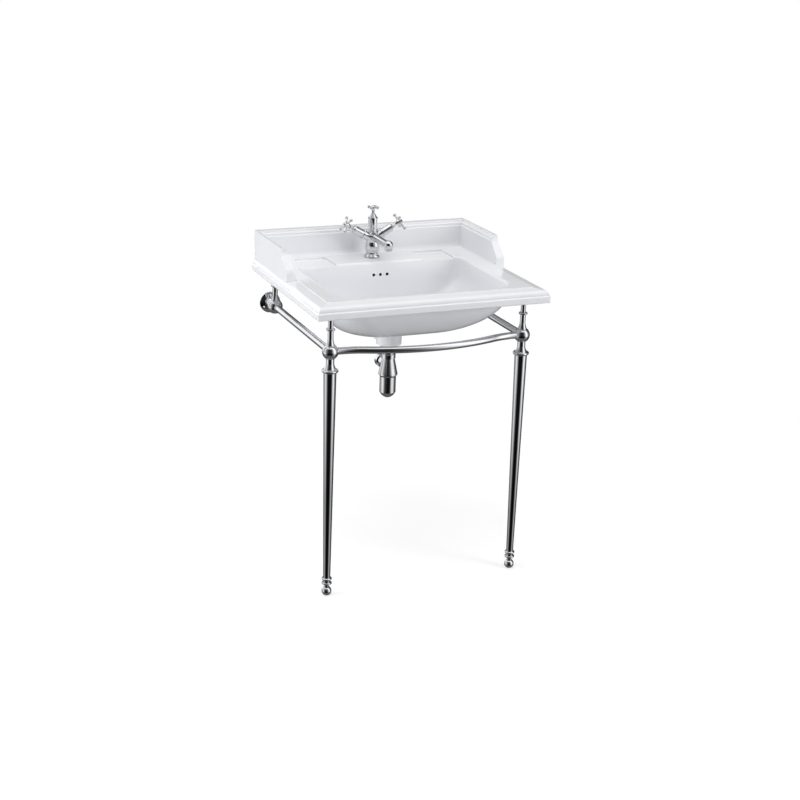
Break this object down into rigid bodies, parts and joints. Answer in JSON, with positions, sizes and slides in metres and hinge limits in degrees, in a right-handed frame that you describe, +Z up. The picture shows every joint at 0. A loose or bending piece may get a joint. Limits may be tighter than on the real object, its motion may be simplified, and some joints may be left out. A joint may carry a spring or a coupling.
{
  "type": "console sink",
  "caption": "Ceramic console basin with a raised back and side returns on a chromed stand with ball joints, towel rail, crosshead tap, pop-up waste and bottle trap.",
  "frame": {"origin": "on the floor, under the middle of the basin's outline", "axes": "+Z up, +Y towards the wall, +X to the right of a person who faces the sink"},
  "size_m": [0.656, 0.56, 0.97],
  "materials": {
    "china": "glossy white glaze",
    "chrome": "polished",
    "brass": "machined",
    "rubber": "matt black",
    "plastic": "moulded grey"
  },
  "bodies": {
    "sink": {"basin": "china", "left_corner_ball": "chrome", "left_rear_ball": "chrome", "left_front_post": "chrome", "left_rear_post": "chrome", "left_leg_neck": "chrome", "left_leg_tube": "chrome", "left_ball_foot": "chrome", "left_side_rail": "chrome", "left_wall_flange": "chrome", "right_corner_ball": "chrome", "right_rear_ball": "chrome", "right_front_post": "chrome", "right_rear_post": "chrome", "right_leg_neck": "chrome", "right_leg_tube": "chrome", "right_ball_foot": "chrome", "right_side_rail": "chrome", "right_wall_flange": "chrome", "foot_ferrules": "chrome", "front_rail": "chrome", "tap_base_ring": "chrome", "tap_body": "chrome", "tap_spout": "chrome", "tap_column": "chrome", "column_cap": "chrome", "hot_bonnet": "chrome", "cold_bonnet": "chrome", "pivot_nut": "chrome", "waste_body": "chrome", "trap_body": "chrome", "trap_inlet_nut": "chrome", "outlet_nut": "chrome", "trap_cup": "chrome", "tap_shank": "brass", "tap_backnut": "brass", "tap_washer": "brass", "hot_cartridge": "brass", "cold_cartridge": "brass", "waste_backnut": "brass", "waste_washer": "brass", "tap_gasket": "rubber", "waste_seal": "rubber", "trap_inlet_seal": "rubber", "cup_seal": "rubber", "support_pads": "rubber", "spout_aerator": "plastic"},
    "hot_crosshead": {"hot_handle": "chrome", "hot_handle_cap": "chrome", "hot_spindle": "brass"},
    "cold_crosshead": {"cold_handle": "chrome", "cold_handle_cap": "chrome", "cold_spindle": "brass"},
    "pop_up_lift": {"lift_rod": "chrome", "lift_knob": "chrome", "lift_strap": "chrome", "strap_screw": "chrome"},
    "pivot_arm": {"pivot_rod": "chrome"},
    "waste_plug": {"plug": "chrome", "plug_seal": "rubber"}
  },
  "joints": [
    {"name": "hot_turn", "type": "hinge", "parent": "sink", "child": "hot_crosshead", "pos_m": [0, 0.191, 0.874], "axis": [-0.8746, 0, 0.4848], "range_deg": [0, 90]},
    {"name": "cold_turn", "type": "hinge", "parent": "sink", "child": "cold_crosshead", "pos_m": [0, 0.191, 0.874], "axis": [0.8746, 0, 0.4848], "range_deg": [-90, 0]},
    {"name": "lift_slide", "type": "slide", "parent": "sink", "child": "pop_up_lift", "axis": [0, 0, 1], "range_m": [0, 0.0344]},
    {"name": "pivot_tip", "type": "hinge", "parent": "sink", "child": "pivot_arm", "pos_m": [0, 0.074, 0.59], "axis": [1, 0, 0], "range_deg": [0, 16]},
    {"name": "plug_slide", "type": "slide", "parent": "sink", "child": "waste_plug", "axis": [0, 0, 1], "range_m": [-0.00765, 0]}
  ],
  "couplings": [
    {"joint": "pivot_tip", "follows": "lift_slide", "rad_per_m": 8.117},
    {"joint": "plug_slide", "follows": "lift_slide", "ratio": -0.2222}
  ]
}
